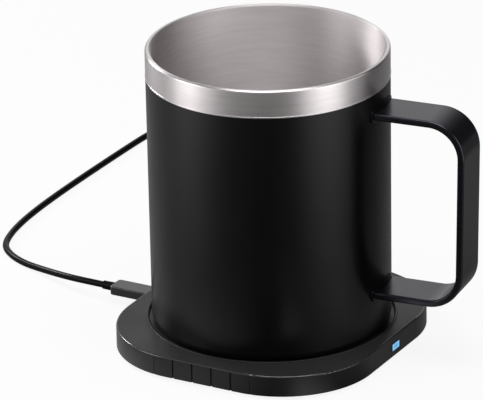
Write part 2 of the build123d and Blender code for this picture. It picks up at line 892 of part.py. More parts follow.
save("housing_screws", *at_corners(housing_screw))
save("rubber_feet", *at_corners(make_rubber_foot()))

save("button_key", make_button_key())
save("switch_plunger", make_switch_plunger())

save("mug_outer_shell", make_mug_outer_shell())
save("mug_base_disc", make_mug_base_disc())
save("mug_liner", make_mug_liner())
save("mug_handle", make_mug_handle())

save("plug_contact_shell", make_plug_contact_shell())
save("plug_overmould", make_plug_overmould())
save("plug_relief", make_plug_relief())
save("lead_cord", swept_tube(cord_path()))
coil = coil_path()
print_coil_gap(coil)
save("lead_coil", swept_tube(coil))
save("coil_tie", make_coil_tie())
save("usb_a_relief", make_usb_a_relief())
save("usb_a_overmould", make_usb_a_overmould())
save("usb_a_shell", make_usb_a_shell())
save("usb_a_tongue", make_usb_a_tongue())
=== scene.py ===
import json
import math

import bmesh
import bpy
from mathutils import Matrix, Vector


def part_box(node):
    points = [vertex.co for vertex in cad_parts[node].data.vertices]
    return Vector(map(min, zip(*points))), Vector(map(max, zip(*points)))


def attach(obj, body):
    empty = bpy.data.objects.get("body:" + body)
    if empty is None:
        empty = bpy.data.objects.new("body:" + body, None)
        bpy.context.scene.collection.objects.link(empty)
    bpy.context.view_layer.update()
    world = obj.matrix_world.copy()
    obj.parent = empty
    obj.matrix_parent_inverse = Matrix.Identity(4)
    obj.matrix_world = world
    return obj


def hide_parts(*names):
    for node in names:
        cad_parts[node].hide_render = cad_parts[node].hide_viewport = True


# Looks of a slim mug warmer with its tall steel mug. Metres throughout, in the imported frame.
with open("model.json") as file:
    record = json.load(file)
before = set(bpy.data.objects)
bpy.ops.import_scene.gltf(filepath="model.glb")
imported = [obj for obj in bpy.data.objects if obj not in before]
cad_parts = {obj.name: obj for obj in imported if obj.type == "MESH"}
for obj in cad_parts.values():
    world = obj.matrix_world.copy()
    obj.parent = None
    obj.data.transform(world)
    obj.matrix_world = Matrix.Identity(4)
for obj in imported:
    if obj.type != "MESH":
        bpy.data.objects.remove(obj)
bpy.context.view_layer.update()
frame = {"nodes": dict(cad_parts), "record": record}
nodes = frame["nodes"]
scene = bpy.context.scene
print("frame loaded, nodes:", len(nodes))


# mesh helpers

meshCare = {"weldDistance": 2e-7, "sharpDegrees": 34.0, "spinSteps": 192, "roundSteps": 8}


def finishPiece(name, bm, body, material):
    bmesh.ops.remove_doubles(bm, verts=bm.verts, dist=meshCare["weldDistance"])
    bmesh.ops.recalc_face_normals(bm, faces=bm.faces)
    sharpAngle = math.radians(meshCare["sharpDegrees"])
    for edge in bm.edges:
        edge.smooth = edge.calc_face_angle(0) < sharpAngle
    for face in bm.faces:
        face.smooth = True
    mesh = bpy.data.meshes.new(name)
    bm.to_mesh(mesh)
    bm.free()
    mesh.materials.append(material)
    piece = bpy.data.objects.new(name, mesh)
    scene.collection.objects.link(piece)
    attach(piece, body)
    return piece


# corners: (radius, height, rounding) in order; the outline is spun full circle about Z
def spunOutline(corners, closed):
    bm = bmesh.new()
    verts = [bm.verts.new((radius, 0, height)) for radius, height, rounding in corners]
    for first, second in zip(verts, verts[1:]):
        bm.edges.new((first, second))
    if closed:
        bm.edges.new((verts[-1], verts[0]))
    for vert, (radius, height, rounding) in zip(verts, corners):
        if rounding:
            bmesh.ops.bevel(bm, geom=[vert], offset=rounding, offset_type="OFFSET",
                            segments=meshCare["roundSteps"], profile=0.5, affect="VERTICES", material=-1)
    bmesh.ops.spin(bm, geom=bm.verts[:] + bm.edges[:], cent=(0, 0, 0), axis=(0, 0, 1), dvec=(0, 0, 0),
                   angle=2 * math.pi, steps=meshCare["spinSteps"], use_merge=True)
    return bm


# shader groups shared by the finishes

groupNoise = {
    "Grain": {"detail": 2, "roughness": 0.55},
    "Cloud": {"detail": 4, "roughness": 0.55},
    "Smudge": {"detail": 3, "roughness": 0.6, "distortion": 1.2, "span": (0.35, 0.68)},
    "Line": {"detail": 3, "roughness": 0.65, "density": 1},
    "Broad": {"detail": 3, "roughness": 0.65, "density": 0.12},
}


def newGroup(name, inputs, outputs):
    group = bpy.data.node_groups.new(name, "ShaderNodeTree")
    for label, start in inputs.items():
        socket = group.interface.new_socket(label, in_out="INPUT", socket_type="NodeSocketFloat")
        socket.default_value = start
    for label in outputs:
        group.interface.new_socket(label, in_out="OUTPUT", socket_type="NodeSocketFloat")
    return group, group.nodes.new("NodeGroupInput"), group.nodes.new("NodeGroupOutput")


def addNoise(tree, vector, values):
    noise = tree.nodes.new("ShaderNodeTexNoise")
    noise.inputs["Detail"].default_value = values["detail"]
    noise.inputs["Roughness"].default_value = values["roughness"]
    tree.links.new(vector, noise.inputs["Vector"])
    return noise


def addMath(tree, operation, first, second=0):
    node = tree.nodes.new("ShaderNodeMath")
    node.operation = operation
    for socket, value in zip(node.inputs, (first, second)):
        if isinstance(value, (int, float)):
            socket.default_value = value
        else:
            tree.links.new(value, socket)
    return node.outputs["Value"]


# how far a point lies from the Z axis
def axisDistance(tree, place):
    flat = tree.nodes.new("ShaderNodeVectorMath")
    flat.operation = "MULTIPLY"
    flat.inputs[1].default_value = (1, 1, 0)
    tree.links.new(place.outputs["Object"], flat.inputs[0])
    distance = tree.nodes.new("ShaderNodeVectorMath")
    distance.operation = "LENGTH"
    tree.links.new(flat.outputs["Vector"], distance.inputs[0])
    return distance.outputs["Value"]


# fine mould grain for bumps, and slow clouds for tone
def buildMouldTexture():
    starts = {"Grain Scale": 2500, "Cloud Scale": 30}
    group, given, made = newGroup("mouldTexture", starts, ("Grain", "Cloud"))
    place = group.nodes.new("ShaderNodeTexCoord")
    for label in ("Grain", "Cloud"):
        noise = addNoise(group, place.outputs["Object"], groupNoise[label])
        group.links.new(given.outputs[label + " Scale"], noise.inputs["Scale"])
        group.links.new(noise.outputs["Fac"], made.inputs[label])
    return group


# soft patches where a finish is a little glossier or duller
def buildHandlingMarks():
    group, given, made = newGroup("handlingMarks", {"Mark Scale": 45}, ("Smudge",))
    place = group.nodes.new("ShaderNodeTexCoord")
    smudge = groupNoise["Smudge"]
    noise = addNoise(group, place.outputs["Object"], smudge)
    noise.inputs["Distortion"].default_value = smudge["distortion"]
    group.links.new(given.outputs["Mark Scale"], noise.inputs["Scale"])
    span = group.nodes.new("ShaderNodeMapRange")
    span.inputs["From Min"].default_value, span.inputs["From Max"].default_value = smudge["span"]
    group.links.new(noise.outputs["Fac"], span.inputs["Value"])
    group.links.new(span.outputs["Result"], made.inputs["Smudge"])
    return group


# hair lines that run round the Z axis, and a mask for what lies inside a radius
def buildBrushedLines():
    starts = {"Lines": 5000, "Along": 2.5, "Inside Radius": 0}
    group, given, made = newGroup("brushedLines", starts, ("Line", "Broad", "Inside"))
    place = group.nodes.new("ShaderNodeTexCoord")
    split = group.nodes.new("ShaderNodeSeparateXYZ")
    group.links.new(place.outputs["Object"], split.inputs["Vector"])
    x, y, z = (split.outputs[axis] for axis in "XYZ")
    around = addMath(group, "MULTIPLY", addMath(group, "ARCTAN2", y, x), given.outputs["Along"])
    radius = axisDistance(group, place)
    inside = addMath(group, "LESS_THAN", radius, given.outputs["Inside Radius"])
    group.links.new(inside, made.inputs["Inside"])
    across = addMath(group, "MULTIPLY", radius, given.outputs["Lines"])
    up = addMath(group, "MULTIPLY", z, given.outputs["Lines"])
    for label in ("Line", "Broad"):
        density = groupNoise[label]["density"]
        join = group.nodes.new("ShaderNodeCombineXYZ")
        group.links.new(around, join.inputs["X"])
        group.links.new(addMath(group, "MULTIPLY", across, density), join.inputs["Y"])
        group.links.new(addMath(group, "MULTIPLY", up, density), join.inputs["Z"])
        noise = addNoise(group, join.outputs["Vector"], groupNoise[label])
        noise.inputs["Scale"].default_value = 1
        group.links.new(noise.outputs["Fac"], made.inputs[label])
    return group


# rounded edges, between upright walls and flat tops, outside a radius from the Z axis
def buildRoundedEdges():
    group, given, made = newGroup("roundedEdges", {"Gain": 3, "Clear Radius": 0}, ("Edge",))
    place = group.nodes.new("ShaderNodeTexCoord")
    split = group.nodes.new("ShaderNodeSeparateXYZ")
    group.links.new(place.outputs["Normal"], split.inputs["Vector"])
    rise = addMath(group, "MULTIPLY", split.outputs["Z"], split.outputs["Z"])
    slope = addMath(group, "MULTIPLY", rise, addMath(group, "SUBTRACT", 1, rise))
    evened = addMath(group, "MULTIPLY", slope, 4)  # 1 where the surface leans 45 degrees
    gained = addMath(group, "MULTIPLY", evened, given.outputs["Gain"])
    outside = addMath(group, "GREATER_THAN", axisDistance(group, place), given.outputs["Clear Radius"])
    edge = addMath(group, "MULTIPLY", addMath(group, "MINIMUM", gained, 1), outside)
    group.links.new(edge, made.inputs["Edge"])
    return group


mouldTexture = buildMouldTexture()
handlingMarks = buildHandlingMarks()
brushedLines = buildBrushedLines()
roundedEdges = buildRoundedEdges()
print("shader groups built")


# finish helpers

finishCare = {"rampEnds": (0.3, 0.7), "flatGrain": 0.5, "lineTurn": 0.25}


def startFinish(name):
    material = bpy.data.materials.new(name)
    material.use_nodes = True
    return material, material.node_tree, material.node_tree.nodes["Principled BSDF"]


def placeGroup(tree, group, values):
    node = tree.nodes.new("ShaderNodeGroup")
    node.node_tree = group
    for label, value in values.items():
        node.inputs[label].default_value = value
    return node


def tintRamp(tree, mask, dark, light):
    ramp = tree.nodes.new("ShaderNodeValToRGB")
    low, high = ramp.color_ramp.elements
    low.position, high.position = finishCare["rampEnds"]
    low.color = (*dark, 1)
    high.color = (*light, 1)
    tree.links.new(mask, ramp.inputs["Fac"])
    return ramp.outputs["Color"]


def levelRange(tree, mask, levels):
    span = tree.nodes.new("ShaderNodeMapRange")
    span.inputs["To Min"].default_value, span.inputs["To Max"].default_value = levels
    tree.links.new(mask, span.inputs["Value"])
    return span.outputs["Result"]


def mixValues(tree, share, first, second):
    mix = tree.nodes.new("ShaderNodeMix")
    tree.links.new(share, mix.inputs["Factor"])
    tree.links.new(first, mix.inputs["A"])
    mix.inputs["B"].default_value = second
    return mix.outputs["Result"]


def mixColours(tree, share, first, second):
    mix = tree.nodes.new("ShaderNodeMix")
    mix.data_type = "RGBA"
    tree.links.new(share, mix.inputs["Factor"])
    for value, socket in zip((first, second), mix.inputs[6:8]):
        if isinstance(value, tuple):
            socket.default_value = value
        else:
            tree.links.new(value, socket)
    return mix.outputs[2]


def smoothSpan(tree, value, span):
    step = tree.nodes.new("ShaderNodeMapRange")
    step.interpolation_type = "SMOOTHSTEP"
    step.inputs["From Min"].default_value, step.inputs["From Max"].default_value = span
    tree.links.new(value, step.inputs["Value"])
    return step.outputs["Result"]


def addBump(tree, shader, height, depth):
    bump = tree.nodes.new("ShaderNodeBump")
    bump.inputs["Strength"].default_value = 1
    bump.inputs["Distance"].default_value = depth
    tree.links.new(height, bump.inputs["Height"])
    tree.links.new(bump.outputs["Normal"], shader.inputs["Normal"])


# tangents run round the Z axis; the finishes that use them add a quarter line turn, which draws the gloss
# out across them
def addRoundTangent(tree, shader):
    tangent = tree.nodes.new("ShaderNodeTangent")
    tangent.direction_type = "RADIAL"
    tangent.axis = "Z"
    tree.links.new(tangent.outputs["Tangent"], shader.inputs["Tangent"])


def setSockets(shader, values):
    for label, value in values.items():
        shader.inputs[label].default_value = value


# moulded, painted and rubbery surfaces, with glossier rounded edges where the look says so
def mouldedFinish(name, look):
    material, tree, shader = startFinish(name)
    scales = {"Grain Scale": look["grainScale"], "Cloud Scale": look["cloudScale"]}
    texture = placeGroup(tree, mouldTexture, scales)
    tint = tintRamp(tree, texture.outputs["Cloud"], look["dark"], look["light"])
    tree.links.new(tint, shader.inputs["Base Color"])
    marks = placeGroup(tree, handlingMarks, {"Mark Scale": look["markScale"]})
    gloss = levelRange(tree, marks.outputs["Smudge"], look["roughness"])
    grain = texture.outputs["Grain"]
    if "edgeRoughness" in look:
        edges = placeGroup(tree, roundedEdges, {"Clear Radius": look.get("clearRadius", 0)})
        gloss = mixValues(tree, edges.outputs["Edge"], gloss, look["edgeRoughness"])
        grain = mixValues(tree, edges.outputs["Edge"], grain, finishCare["flatGrain"])
        if "edgeCoat" in look:
            coat = levelRange(tree, edges.outputs["Edge"], look["edgeCoat"])
            tree.links.new(coat, shader.inputs["Coat Weight"])
            shader.inputs["Coat Roughness"].default_value = look["edgeRoughness"]
    tree.links.new(gloss, shader.inputs["Roughness"])
    addBump(tree, shader, grain, look["bumpDepth"])
    setSockets(shader, look.get("sockets", {}))
    return material


# metal with hair lines round the axis
def brushedFinish(name, look):
    material, tree, shader = startFinish(name)
    lines = placeGroup(tree, brushedLines, {"Lines": look["lines"], "Along": look["along"]})
    tint = tintRamp(tree, lines.outputs["Broad"], look["dark"], look["light"])
    tree.links.new(tint, shader.inputs["Base Color"])
    gloss = levelRange(tree, lines.outputs["Line"], look["roughness"])
    if "insideRoughness" in look:
        lines.inputs["Inside Radius"].default_value = look["insideRadius"]
        gloss = mixValues(tree, lines.outputs["Inside"], gloss, look["insideRoughness"])
    tree.links.new(gloss, shader.inputs["Roughness"])
    addBump(tree, shader, lines.outputs["Line"], look["bumpDepth"])
    addRoundTangent(tree, shader)
    setSockets(shader, {"Metallic": 1, "Anisotropic": look["anisotropic"],
                        "Anisotropic Rotation": finishCare["lineTurn"]})
    return material


# finishes, by the record's slots

finishes = {}

coverLook = {
    "dark": (0.022, 0.022, 0.0224), "light": (0.026, 0.026, 0.0265), "roughness": (0.37, 0.43),
    "grainScale": 2600, "cloudScale": 24, "markScale": 40, "bumpDepth": 0.000018, "edgeRoughness": 0.16,
    "edgeCoat": (0, 1), "clearRadius": 0.048, "sockets": {"Specular IOR Level": 0.2},
}
finishes["cover_plastic"] = mouldedFinish("coverPlastic", coverLook)

floorLook = {
    "dark": (0.016, 0.016, 0.017), "light": (0.022, 0.022, 0.023), "roughness": (0.55, 0.66),
    "grainScale": 1800, "cloudScale": 30, "markScale": 40, "bumpDepth": 0.00004,
}
finishes["floor_plastic"] = mouldedFinish("floorPlastic", floorLook)

mugLook = {
    "dark": (0.0012, 0.0012, 0.0013), "light": (0.0018, 0.0018, 0.0020), "roughness": (0.30, 0.36),
    "grainScale": 1500, "cloudScale": 18, "markScale": 28, "bumpDepth": 0.000006,
    "sockets": {
        "Specular IOR Level": 0.3, "Anisotropic": 0.75, "Anisotropic Rotation": finishCare["lineTurn"],
    },
}
finishes["mug_coating"] = mouldedFinish("mugCoating", mugLook)
# gloss on the coat is drawn out upright
coatTree = finishes["mug_coating"].node_tree
addRoundTangent(coatTree, coatTree.nodes["Principled BSDF"])

handleLook = dict(
    mugLook, dark=(0.0024, 0.0022, 0.0030), light=(0.0034, 0.0031, 0.0042), roughness=(0.18, 0.24),
    cloudScale=30, edgeRoughness=0.2,
    sockets={"Specular IOR Level": 0.53, "Specular Tint": (0.85, 0.81, 1, 1)},
)
finishes["handle_coating"] = mouldedFinish("handleCoating", handleLook)

plugLook = {
    "dark": (0.016, 0.016, 0.0163), "light": (0.022, 0.022, 0.0224), "roughness": (0.26, 0.32),
    "grainScale": 3200, "cloudScale": 60, "markScale": 90, "bumpDepth": 0.00001, "edgeRoughness": 0.2,
    "edgeCoat": (0, 0.5), "sockets": {"Specular IOR Level": 0.8},
}
finishes["plug_plastic"] = mouldedFinish("plugPlastic", plugLook)

jacketLook = {
    "dark": (0.0015, 0.0015, 0.0016), "light": (0.0024, 0.0024, 0.0025), "roughness": (0.27, 0.33),
    "grainScale": 1400, "cloudScale": 40, "markScale": 70, "bumpDepth": 0.000006,
    "sockets": {"Specular IOR Level": 0.1},
}
finishes["cord_jacket"] = mouldedFinish("cordJacket", jacketLook)

tieLook = {
    "dark": (0.020, 0.020, 0.021), "light": (0.030, 0.030, 0.031), "roughness": (0.62, 0.74),
    "grainScale": 2200, "cloudScale": 80, "markScale": 90, "bumpDepth": 0.00005,
}
finishes["tie_strap"] = mouldedFinish("tieStrap", tieLook)

footLook = {
    "dark": (0.014, 0.014, 0.014), "light": (0.020, 0.020, 0.020), "roughness": (0.68, 0.82),
    "grainScale": 2400, "cloudScale": 70, "markScale": 80, "bumpDepth": 0.00004,
}
finishes["foot_rubber"] = mouldedFinish("footRubber", footLook)

siliconeLook = {
    "dark": (0.46, 0.11, 0.07), "light": (0.56, 0.16, 0.10), "roughness": (0.5, 0.62),
    "grainScale": 2000, "cloudScale": 40, "markScale": 60, "bumpDepth": 0.00001,
}
finishes["silicone"] = mouldedFinish("sealSilicone", siliconeLook)

chipLook = {
    "dark": (0.014, 0.014, 0.015), "light": (0.022, 0.022, 0.023), "roughness": (0.42, 0.55),
    "grainScale": 4000, "cloudScale": 200, "markScale": 160, "bumpDepth": 0.000012,
}
finishes["component_black"] = mouldedFinish("chipBlack", chipLook)

wireLook = {
    "dark": (0.42, 0.035, 0.03), "light": (0.52, 0.05, 0.04), "roughness": (0.3, 0.4),
    "grainScale": 2000, "cloudScale": 120, "markScale": 150, "bumpDepth": 0.000005,
}
finishes["lead_wire"] = mouldedFinish("leadWire", wireLook)

lampLook = {
    "dark": (0.74, 0.79, 0.86), "light": (0.86, 0.90, 0.94), "roughness": (0.12, 0.2),
    "grainScale": 900, "cloudScale": 300, "markScale": 200, "bumpDepth": 0.000004,
}
finishes["lamp_resin"] = mouldedFinish("lampResin", lampLook)

tongueLook = {
    "dark": (0.70, 0.70, 0.69), "light": (0.80, 0.80, 0.79), "roughness": (0.4, 0.5),
    "grainScale": 2600, "cloudScale": 120, "markScale": 120, "bumpDepth": 0.00001,
}
finishes["tongue_plastic"] = mouldedFinish("tonguePlastic", tongueLook)

plateLook = {
    "dark": (0.030, 0.030, 0.032), "light": (0.042, 0.042, 0.044), "roughness": (0.34, 0.44),
    "grainScale": 1600, "cloudScale": 30, "markScale": 40, "bumpDepth": 0.00001,
    "sockets": {"Metallic": 0.6},
}
finishes["plate_metal"] = mouldedFinish("plateCoating", plateLook)

micaLook = {
    "dark": (0.50, 0.44, 0.32), "light": (0.70, 0.64, 0.52), "roughness": (0.35, 0.6),
    "grainScale": 700, "cloudScale": 220, "markScale": 120, "bumpDepth": 0.00003,
}
finishes["mica"] = mouldedFinish("pressedMica", micaLook)

steelLook = {
    "dark": (0.695, 0.652, 0.658), "light": (0.765, 0.722, 0.728), "roughness": (0.31, 0.37),
    "lines": 5200, "along": 2.2, "bumpDepth": 0.0000015, "anisotropic": 0.9, "insideRadius": 0.0428,
    "insideRoughness": 0.68,
}
finishes["bare_steel"] = brushedFinish("bareSteel", steelLook)

discLook = {
    "dark": (0.42, 0.42, 0.43), "light": (0.55, 0.55, 0.56), "roughness": (0.3, 0.42),
    "lines": 3600, "along": 1.5, "bumpDepth": 0.000006, "anisotropic": 0.5,
}
finishes["base_metal"] = brushedFinish("turnedBase", discLook)

pressedLook = {
    "dark": (0.50, 0.50, 0.50), "light": (0.62, 0.62, 0.61), "roughness": (0.28, 0.4),
    "lines": 2600, "along": 6.0, "bumpDepth": 0.000004, "anisotropic": 0.3,
}
finishes["bright_steel"] = brushedFinish("pressedSteel", pressedLook)

screwLook = dict(pressedLook, lines=6000, roughness=(0.3, 0.45))
finishes["screw_steel"] = brushedFinish("screwSteel", screwLook)

socketLook = {
    "dark": (0.52, 0.52, 0.51), "light": (0.64, 0.64, 0.63), "roughness": (0.22, 0.32),
    "lines": 1400, "along": 8.0, "bumpDepth": 0.0000008, "anisotropic": 0.2,
}
finishes["socket_steel"] = brushedFinish("platedShell", socketLook)

# amber film with an etched track in rings; the wave texture's rings are one wave pitch apart at scale 1
filmLook = {
    "film": (0.50, 0.24, 0.04), "track": (0.62, 0.56, 0.50), "trackPitch": 0.0042, "wavePitch": 0.314,
    "trackWander": 0.4, "roughness": 0.32, "bumpDepth": 0.00002,
}


def filmFinish(name, look):
    material, tree, shader = startFinish(name)
    place = tree.nodes.new("ShaderNodeTexCoord")
    rings = tree.nodes.new("ShaderNodeTexWave")
    rings.wave_type = "RINGS"
    rings.rings_direction = "Z"
    rings.inputs["Scale"].default_value = look["wavePitch"] / look["trackPitch"]
    rings.inputs["Distortion"].default_value = look["trackWander"]
    tree.links.new(place.outputs["Object"], rings.inputs["Vector"])
    tint = tintRamp(tree, rings.outputs["Fac"], look["film"], look["track"])
    tree.links.new(tint, shader.inputs["Base Color"])
    addBump(tree, shader, rings.outputs["Fac"], look["bumpDepth"])
    shader.inputs["Roughness"].default_value = look["roughness"]
    return material


finishes["heater_film"] = filmFinish("heaterFilm", filmLook)

# green resist with faint copper runs under it
boardLook = {
    "resist": (0.010, 0.085, 0.038), "overCopper": (0.022, 0.15, 0.07), "runScale": 320, "runGap": 0.06,
    "roughness": 0.3, "bumpDepth": 0.00003,
}


def boardFinish(name, look):
    material, tree, shader = startFinish(name)
    place = tree.nodes.new("ShaderNodeTexCoord")
    bricks = tree.nodes.new("ShaderNodeTexBrick")
    bricks.inputs["Scale"].default_value = look["runScale"]
    bricks.inputs["Color1"].default_value = (*look["overCopper"], 1)
    bricks.inputs["Color2"].default_value = (*look["overCopper"], 1)
    bricks.inputs["Mortar"].default_value = (*look["resist"], 1)
    bricks.inputs["Mortar Size"].default_value = look["runGap"]
    tree.links.new(place.outputs["Object"], bricks.inputs["Vector"])
    tree.links.new(bricks.outputs["Color"], shader.inputs["Base Color"])
    addBump(tree, shader, bricks.outputs["Fac"], look["bumpDepth"])
    shader.inputs["Roughness"].default_value = look["roughness"]
    return material


finishes["board_laminate"] = boardFinish("boardLaminate", boardLook)

# milky key lit blue from behind, paler towards its edge, which is masked dark
keyLook = {
    "faceWidth": 0.006, "faceHeight": 0.0029,
    "resin": (0.03, 0.10, 0.18), "edgeGlow": (0.28, 0.64, 0.96), "midGlow": (0.10, 0.38, 0.70),
    "mask": (0.001, 0.006, 0.014, 1), "maskSpan": (0.76, 0.90), "strength": 0.9, "roughness": 0.4,
}


def keyFinish(name, look):
    material, tree, shader = startFinish(name)
    low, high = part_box("button_key")
    middle = (low + high) / 2
    place = tree.nodes.new("ShaderNodeTexCoord")
    shift = tree.nodes.new("ShaderNodeMapping")
    shift.vector_type = "TEXTURE"
    shift.inputs["Location"].default_value = middle
    shift.inputs["Scale"].default_value = (1, look["faceWidth"] / 2, look["faceHeight"] / 2)
    split = tree.nodes.new("ShaderNodeSeparateXYZ")
    tree.links.new(place.outputs["Object"], shift.inputs["Vector"])
    tree.links.new(shift.outputs["Vector"], split.inputs["Vector"])
    across, up = (addMath(tree, "ABSOLUTE", split.outputs[axis]) for axis in "YZ")
    reach = addMath(tree, "MAXIMUM", across, up)
    glow = tintRamp(tree, reach, look["midGlow"], look["edgeGlow"])
    masked = mixColours(tree, smoothSpan(tree, reach, look["maskSpan"]), glow, look["mask"])
    tree.links.new(masked, shader.inputs["Emission Color"])
    setSockets(shader, {"Base Color": (*look["resin"], 1), "Emission Strength": look["strength"],
                        "Roughness": look["roughness"]})
    return material


finishes["lit_resin"] = keyFinish("litKey", keyLook)

for part in frame["record"]["subparts"]:
    nodes[part["node"]].material_slots[0].material = finishes[part["material_slot"]]
print("finishes set:", len(finishes))


# mug: coated shell and bare steel liner, spun

mugShape = {
    "baseRadius": 0.0438, "rimRadius": 0.0442, "footRound": 0.003, "shellWall": 0.0008, "shellFloor": 0.0012,
    "discHole": 0.0361, "coatEdge": 0.00012, "lipWidth": 0.002, "lipRound": 0.0008, "linerWall": 0.0007,
    "linerFloor": 0.001, "linerCorner": 0.008, "floorRadius": 0.0389, "tongueHeight": 0.004,
    "fitGap": 0.00005, "lineProud": 0.00014, "lineHeight": 0.00055, "lineRound": 0.0001,
}
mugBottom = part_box("mug_outer_shell")[0].z
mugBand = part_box("mug_outer_shell")[1].z
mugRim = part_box("mug_liner")[1].z
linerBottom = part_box("mug_liner")[0].z


def wallRadius(height):
    share = (height - mugBottom) / (mugRim - mugBottom)
    return mugShape["baseRadius"] + (mugShape["rimRadius"] - mugShape["baseRadius"]) * share


def makeMugShell(shape):
    wall = shape["shellWall"]
    floorTop = mugBottom + shape["shellFloor"]
    corners = [
        (shape["discHole"], mugBottom, 0),
        (shape["baseRadius"], mugBottom, shape["footRound"]),
        (wallRadius(mugBand), mugBand, shape["coatEdge"]),
        (wallRadius(mugBand) - wall, mugBand, 0),
        (wallRadius(floorTop) - wall, floorTop, shape["footRound"] - wall),
        (shape["discHole"], floorTop, 0),
    ]
    bm = spunOutline(corners, closed=True)
    shell = finishPiece("mugShell", bm, "mug", finishes["mug_coating"])
    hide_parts("mug_outer_shell")


# the band's lower edge has a fine raised line that catches the light
def makeMugLiner(shape):
    lipRadius = shape["rimRadius"] - shape["lipWidth"]
    floorTop = linerBottom + shape["linerFloor"]
    tongueFoot = mugBand - shape["tongueHeight"]
    tongueRadius = wallRadius(tongueFoot) - shape["shellWall"] - shape["fitGap"]
    share = (tongueFoot - floorTop) / (mugRim - floorTop)
    backRadius = shape["floorRadius"] + (lipRadius - shape["floorRadius"]) * share + shape["linerWall"]
    bandRadius = wallRadius(mugBand)
    lineTop = mugBand + shape["lineHeight"]
    corners = [
        (0, linerBottom, 0),
        (shape["floorRadius"] + shape["linerWall"], linerBottom, shape["linerCorner"] + shape["linerWall"]),
        (backRadius, tongueFoot, 0),
        (tongueRadius, tongueFoot, 0),
        (tongueRadius, mugBand, 0),
        (bandRadius + shape["lineProud"], mugBand, shape["lineRound"]),
        (bandRadius + shape["lineProud"], lineTop, shape["lineRound"]),
        (wallRadius(lineTop), lineTop, 0),
        (shape["rimRadius"], mugRim, shape["lipRound"]),
        (lipRadius, mugRim, shape["lipRound"]),
        (shape["floorRadius"], floorTop, shape["linerCorner"]),
        (0, floorTop, 0),
    ]
    bm = spunOutline(corners, closed=False)
    liner = finishPiece("mugLiner", bm, "mug", finishes["bare_steel"])
    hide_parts("mug_liner")


makeMugShell(mugShape)
makeMugLiner(mugShape)
print("mug spun")


# lead: one cord from the strain relief through its coil to the far plug

cordRoute = {
    "diameter": 0.0025,
    "roundSteps": 5,
    "pathSteps": 5,
    # steps from the relief's end, and the share of the drop to the table still to come
    "steps": [
        (-0.0096, 0, 1), (-0.0200, 0.0031, 0.66), (-0.0310, 0.0080, 0.18), (-0.0406, 0.0111, 0),
        (-0.0494, 0.0154, 0), (-0.0566, 0.0222, 0), (-0.0602, 0.0320, 0), (-0.0624, 0.0435, 0),
        (-0.0637, 0.0570, 0), (-0.0643, 0.0740, 0), (-0.0644, 0.0930, 0), (-0.0642, 0.1120, 0),
        (-0.0639, 0.1310, 0), (-0.0634, 0.1455, 0), (-0.0604, 0.1580, 0), (-0.0534, 0.1680, 0),
        (-0.0435, 0.1736, 0),
    ],
    "leadIn": (-0.0340, 0.1746),
    "coilEntry": (-0.0260, 0.1746),
    "coilRadius": 0.0203,
    "coilPitch": 0.003,
    "coilLow": 0.0016,
    "coilHigh": 0.00455,
    "downQuarters": 15,
    "climbQuarters": 2,
    "upQuarters": 16,
    "climbDip": 0.0008,
    "climbStep": 0.0003,
    "pointsPerQuarter": 6,
}
reliefLow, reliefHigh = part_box("plug_relief")
cordExit = Vector((reliefLow.x, (reliefLow.y + reliefHigh.y) / 2, (reliefLow.z + reliefHigh.z) / 2))


def coilPoint(route, centre, quarter):
    climbEnd = route["downQuarters"] + route["climbQuarters"]
    innerRadius = route["coilRadius"] - route["coilPitch"] * route["downQuarters"] / 4
    height = route["coilLow"]
    if quarter <= route["downQuarters"]:
        radius = route["coilRadius"] - route["coilPitch"] * quarter / 4
    elif quarter < climbEnd:
        share = (quarter - route["downQuarters"]) / route["climbQuarters"]
        dipEnd = route["climbDip"] if share < 0.5 else route["climbDip"] - route["climbStep"]
        radius = innerRadius - route["climbDip"] + dipEnd * (2 * share - 1) ** 2
        height += (route["coilHigh"] - route["coilLow"]) * share * share * (3 - 2 * share)
    else:
        radius = innerRadius - route["climbStep"] + route["coilPitch"] * (quarter - climbEnd) / 4
        height = route["coilHigh"]
    angle = math.pi / 2 * (1 - quarter)
    step = math.pi / 2 / route["pointsPerQuarter"]
    radius /= 0.75 + 0.25 * math.cos(step)  # the spline runs a little inside its points
    return Vector((centre.x + radius * math.cos(angle), centre.y + radius * math.sin(angle), height))


def cordPoints(route):
    half = route["diameter"] / 2
    points = [cordExit]
    for stepX, stepY, dropShare in route["steps"]:
        height = half + dropShare * (cordExit.z - half)
        points.append(Vector((cordExit.x + stepX, cordExit.y + stepY, height)))
    for stepX, stepY in (route["leadIn"], route["coilEntry"]):
        points.append(Vector((cordExit.x + stepX, cordExit.y + stepY, route["coilLow"])))
    entry = points[-1]
    centre = Vector((entry.x + route["diameter"], entry.y - route["coilRadius"], 0))
    lastQuarter = route["downQuarters"] + route["climbQuarters"] + route["upQuarters"]
    for index in range(1, lastQuarter * route["pointsPerQuarter"] + 1):
        points.append(coilPoint(route, centre, index / route["pointsPerQuarter"]))
    farLow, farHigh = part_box("usb_a_relief")
    farEnd = Vector(((farLow.x + farHigh.x) / 2, farHigh.y, (farLow.z + farHigh.z) / 2))
    points.append(farEnd.lerp(points[-1], 0.5))
    points.append(farEnd)
    return points


def makeCord(route):
    curve = bpy.data.curves.new("leadCord", "CURVE")
    curve.dimensions = "3D"
    curve.bevel_depth = route["diameter"] / 2
    curve.bevel_resolution = route["roundSteps"]
    curve.use_fill_caps = True
    curve.resolution_u = route["pathSteps"]
    spline = curve.splines.new("NURBS")
    points = cordPoints(route)
    spline.points.add(len(points) - 1)
    for point, place in zip(spline.points, points):
        point.co = (*place, 1)
    spline.order_u = 3
    spline.use_endpoint_u = True
    curve.materials.append(finishes["cord_jacket"])
    cord = bpy.data.objects.new("leadCord", curve)
    scene.collection.objects.link(cord)
    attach(cord, "lead")
    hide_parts("lead_cord", "lead_coil")


makeCord(cordRoute)
print("cord laid")


# camera at the photograph's angle

